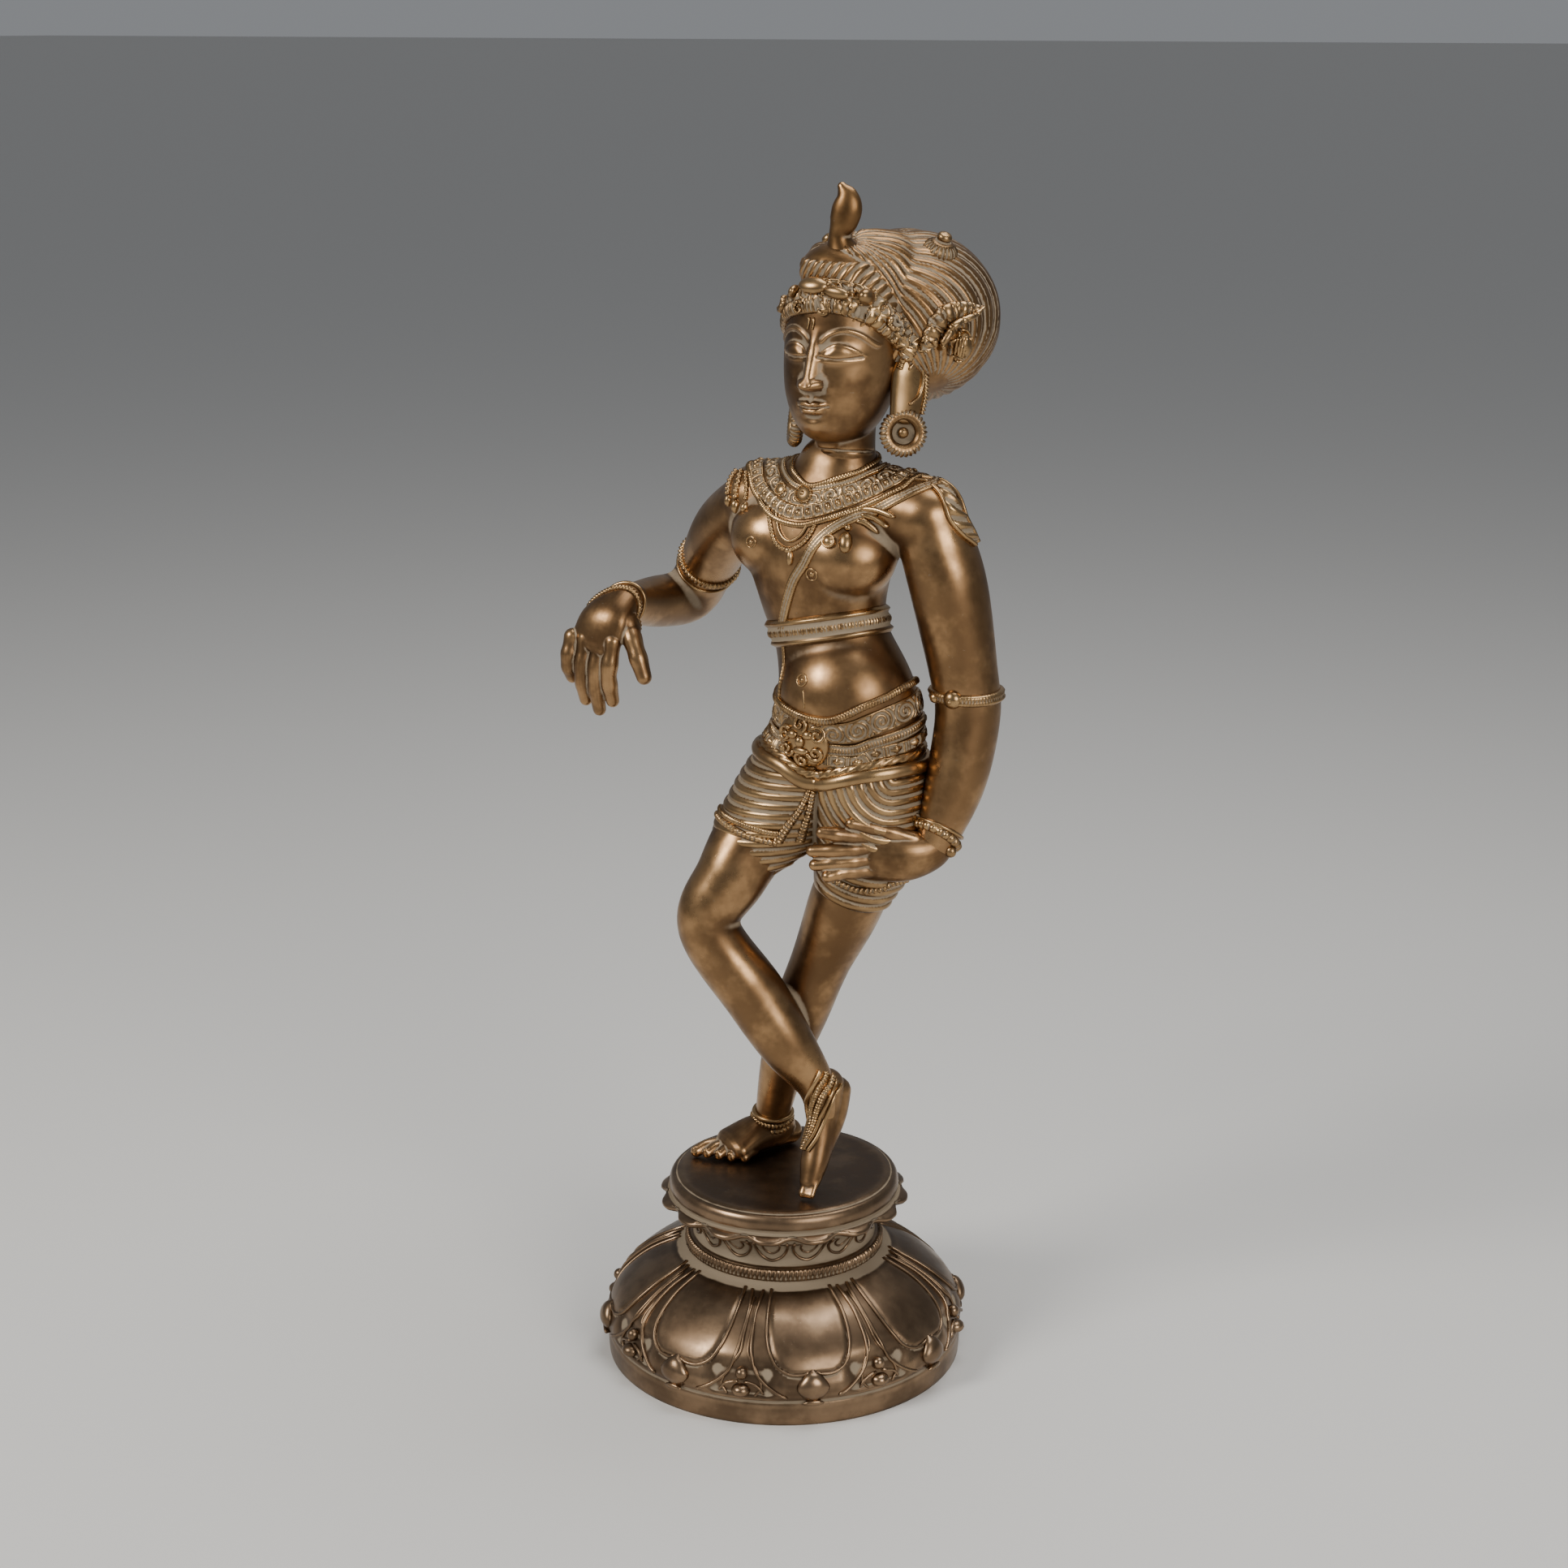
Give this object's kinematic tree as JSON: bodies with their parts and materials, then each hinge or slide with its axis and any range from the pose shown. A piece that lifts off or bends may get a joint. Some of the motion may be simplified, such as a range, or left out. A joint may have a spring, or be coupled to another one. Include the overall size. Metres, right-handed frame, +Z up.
{
  "type": "dakshinamurti figure",
  "caption": "Cast brass figure of a standing deity with crossed legs, one arm held out to the side, a piled turban of hair and rich ornaments, on a round lotus pedestal.",
  "frame": {"origin": "centre of the pedestal's flat underside", "axes": "+Z up to the top of the headdress, -Y towards the figure's front, +X towards the figure's left side"},
  "size_m": [0.2026, 0.1769, 0.5595],
  "materials": {
    "figure_brass": "brown patinated cast brass, golden where rubbed, dull in the recesses",
    "pedestal_brass": "duller brown patinated cast brass with pale residue in the relief"
  },
  "bodies": {
    "root": {"figure": "figure_brass", "pedestal": "pedestal_brass"}
  },
  "joints": []
}
